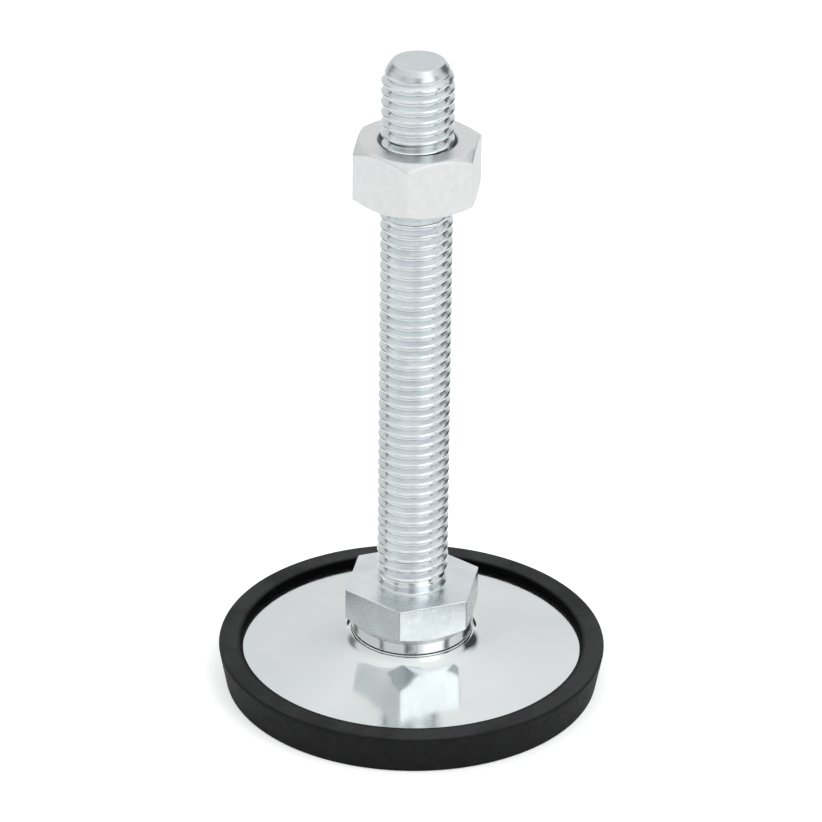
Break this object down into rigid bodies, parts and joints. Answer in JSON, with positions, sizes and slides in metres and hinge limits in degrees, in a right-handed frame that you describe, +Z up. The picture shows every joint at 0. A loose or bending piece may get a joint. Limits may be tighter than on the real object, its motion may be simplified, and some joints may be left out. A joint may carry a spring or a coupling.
{
  "type": "furniture leveling foot",
  "caption": "Furniture leveling foot: dished round plate in a black rubber cap, tilting ball-ended threaded stud with a hexagon, and a lock nut.",
  "frame": {"origin": "on the floor, at the centre of the foot's underside", "axes": "+Z up along the upright threaded stud; +X and +Y across the round foot"},
  "size_m": [0.0538, 0.0538, 0.0935],
  "materials": {
    "black_rubber": "matt moulded black rubber",
    "zinc_plate": "bright zinc plate on smooth dished sheet, near mirror",
    "zinc_spindle": "bright blue-white zinc plate on rolled thread and forged hexagon",
    "zinc_nut": "satin zinc plate",
    "zinc_small_parts": "satin zinc plate",
    "spring_steel": "dark phosphated spring steel"
  },
  "bodies": {
    "foot": {"rubber_cap": "black_rubber", "base_plate": "zinc_plate"},
    "washer_link": {"retaining_washer": "zinc_small_parts"},
    "ring_link": {"snap_ring": "spring_steel"},
    "spindle_body": {"spindle": "zinc_spindle"},
    "nut_body": {"lock_nut": "zinc_nut"}
  },
  "joints": [
    {"name": "tilt_x", "type": "hinge", "parent": "foot", "child": "washer_link", "pos_m": [0, 0, 0.0092], "axis": [1, 0, 0], "range_deg": [-4, 4]},
    {"name": "tilt_y", "type": "hinge", "parent": "washer_link", "child": "ring_link", "pos_m": [0, 0, 0.0092], "axis": [0, 1, 0], "range_deg": [-4, 4]},
    {"name": "spindle_spin", "type": "hinge", "parent": "ring_link", "child": "spindle_body", "pos_m": [0, 0, 0.0092], "axis": [0, 0, 1], "range_deg": [-2160, 13140]},
    {"name": "nut_travel", "type": "slide", "parent": "ring_link", "child": "nut_body", "axis": [0, 0, 1], "range_m": [-0.05475, 0.009]}
  ],
  "couplings": [
    {"joint": "nut_travel", "follows": "spindle_spin", "m_per_rad": -0.00023873}
  ]
}
